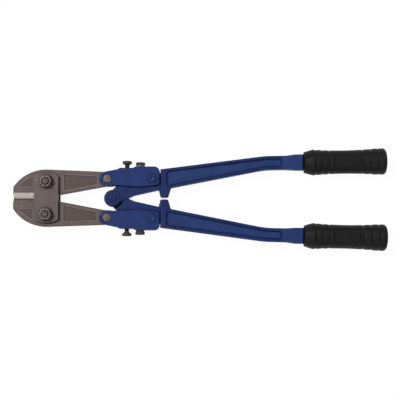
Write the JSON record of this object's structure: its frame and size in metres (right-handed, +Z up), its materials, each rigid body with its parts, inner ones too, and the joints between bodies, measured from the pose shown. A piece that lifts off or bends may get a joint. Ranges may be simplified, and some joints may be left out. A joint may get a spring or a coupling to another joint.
{
  "type": "bolt cutters",
  "caption": "Compound-lever bolt cutters with forged jaws between bolted centre plates, forked adjusting arms, I-section handles and ribbed rubber grips.",
  "frame": {"origin": "under the middle of the tool, on the surface that it lies on", "axes": "+X along the tool from the jaws to the grips, +Y across it, +Z up, with the nuts on top"},
  "size_m": [0.4502, 0.1242, 0.0356],
  "materials": {
    "jaw_steel": "phosphated forged steel with ground blades",
    "plate_steel": "phosphated steel plate",
    "nut_steel": "phosphated steel",
    "fastener_steel": "black oxide",
    "washer_steel": "dull spring steel",
    "pin_steel": "turned steel",
    "blue_paint": "dark blue paint on forged steel",
    "grip_rubber": "black moulded rubber"
  },
  "bodies": {
    "head": {"front_plate": "plate_steel", "rear_plate": "plate_steel", "upper_jaw_bolt": "nut_steel", "upper_jaw_nut": "nut_steel", "upper_tooth_washer": "washer_steel", "lower_jaw_bolt": "nut_steel", "lower_jaw_nut": "nut_steel", "lower_tooth_washer": "washer_steel"},
    "upper_jaw": {"upper_jaw": "jaw_steel"},
    "upper_handle": {"upper_handle": "blue_paint", "upper_arm": "blue_paint", "upper_jaw_pin": "pin_steel", "upper_arm_pin": "blue_paint", "upper_lock_washer": "washer_steel", "upper_grip": "grip_rubber", "handle_pivot_pin": "blue_paint"},
    "upper_adjusting_screw": {"upper_adjusting_screw": "fastener_steel"},
    "upper_lock_screw": {"upper_lock_screw": "fastener_steel"},
    "lower_jaw": {"lower_jaw": "jaw_steel"},
    "lower_handle": {"lower_handle": "blue_paint", "lower_arm": "blue_paint", "lower_jaw_pin": "pin_steel", "lower_arm_pin": "blue_paint", "lower_lock_washer": "washer_steel", "lower_grip": "grip_rubber"},
    "lower_adjusting_screw": {"lower_adjusting_screw": "fastener_steel"},
    "lower_lock_screw": {"lower_lock_screw": "fastener_steel"}
  },
  "joints": [
    {"name": "upper_jaw_hinge", "type": "hinge", "parent": "head", "child": "upper_jaw", "pos_m": [-0.1847, 0.0197, 0.016], "axis": [0, 0, 1], "range_deg": [-8.03, 0]},
    {"name": "upper_handle_hinge", "type": "hinge", "parent": "upper_jaw", "child": "upper_handle", "pos_m": [-0.1117, 0.0234, 0.016], "axis": [0, 0, 1], "range_deg": [0, 53]},
    {"name": "upper_adjusting_screw_turn", "type": "hinge", "parent": "upper_handle", "child": "upper_adjusting_screw", "pos_m": [-0.0883, 0.0383, 0.016], "axis": [0, 1, 0], "continuous": true},
    {"name": "upper_lock_screw_turn", "type": "hinge", "parent": "upper_handle", "child": "upper_lock_screw", "pos_m": [-0.0722, 0.0383, 0.016], "axis": [0, 1, 0], "continuous": true},
    {"name": "lower_jaw_hinge", "type": "hinge", "parent": "head", "child": "lower_jaw", "pos_m": [-0.1847, -0.0197, 0.016], "axis": [0, 0, 1], "range_deg": [0, 8.03]},
    {"name": "lower_handle_hinge", "type": "hinge", "parent": "lower_jaw", "child": "lower_handle", "pos_m": [-0.1117, -0.0234, 0.016], "axis": [0, 0, 1], "range_deg": [-53, 0]},
    {"name": "lower_adjusting_screw_turn", "type": "hinge", "parent": "lower_handle", "child": "lower_adjusting_screw", "pos_m": [-0.0883, -0.0383, 0.016], "axis": [0, -1, 0], "continuous": true},
    {"name": "lower_lock_screw_turn", "type": "hinge", "parent": "lower_handle", "child": "lower_lock_screw", "pos_m": [-0.0722, -0.0383, 0.016], "axis": [0, -1, 0], "continuous": true}
  ],
  "couplings": [
    {"joint": "upper_jaw_hinge", "follows": "upper_handle_hinge", "ratio": -0.1515},
    {"joint": "lower_jaw_hinge", "follows": "upper_handle_hinge", "ratio": 0.1515},
    {"joint": "lower_handle_hinge", "follows": "upper_handle_hinge", "ratio": -1}
  ]
}
